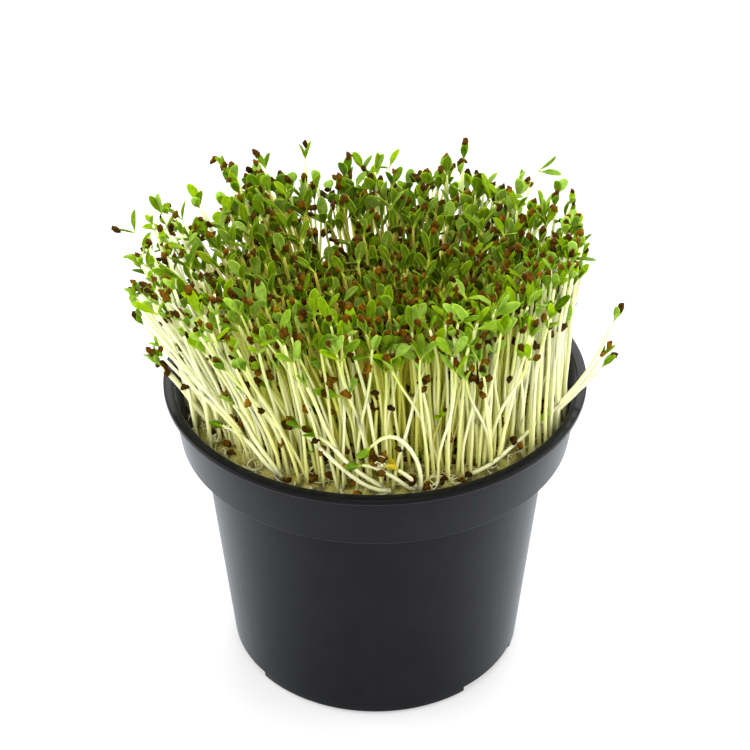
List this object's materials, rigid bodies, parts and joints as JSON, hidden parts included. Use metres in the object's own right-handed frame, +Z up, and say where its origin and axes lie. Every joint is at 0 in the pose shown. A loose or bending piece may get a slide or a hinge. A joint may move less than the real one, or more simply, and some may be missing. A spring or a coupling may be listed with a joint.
{
  "type": "potted microgreens",
  "caption": "Round tapered nursery pot filled with growing medium and a dense stand of pale-stemmed microgreens with small paired seed leaves and brown seed coats.",
  "frame": {"origin": "middle of the pot's flat base, on the surface it stands on", "axes": "+Z up along the pot's axis; -Y towards the front; -X towards the side where the sprouts fan outwards"},
  "size_m": [0.1234, 0.105, 0.1264],
  "materials": {
    "pot_plastic": "satin",
    "growing_medium": "matte",
    "sprouts": "satin",
    "root_mat": "matte",
    "stems": "satin",
    "leaves": "satin",
    "seed_coats": "matte"
  },
  "bodies": {
    "root": {"pot": "pot_plastic", "growing_medium": "growing_medium", "sprouts_centre_1": "sprouts", "sprouts_inner_1": "sprouts", "sprouts_inner_2": "sprouts", "sprouts_inner_3": "sprouts", "sprouts_inner_4": "sprouts", "sprouts_inner_5": "sprouts", "sprouts_inner_6": "sprouts", "sprouts_outer_1": "sprouts", "sprouts_outer_2": "sprouts", "sprouts_outer_3": "sprouts", "sprouts_outer_4": "sprouts", "sprouts_outer_5": "sprouts", "sprouts_outer_6": "sprouts", "sprouts_outer_7": "sprouts", "sprouts_outer_8": "sprouts", "sprouts_outer_9": "sprouts", "sprouts_outer_10": "sprouts", "sprouts_outer_11": "sprouts", "sprouts_outer_12": "sprouts"}
  },
  "joints": []
}
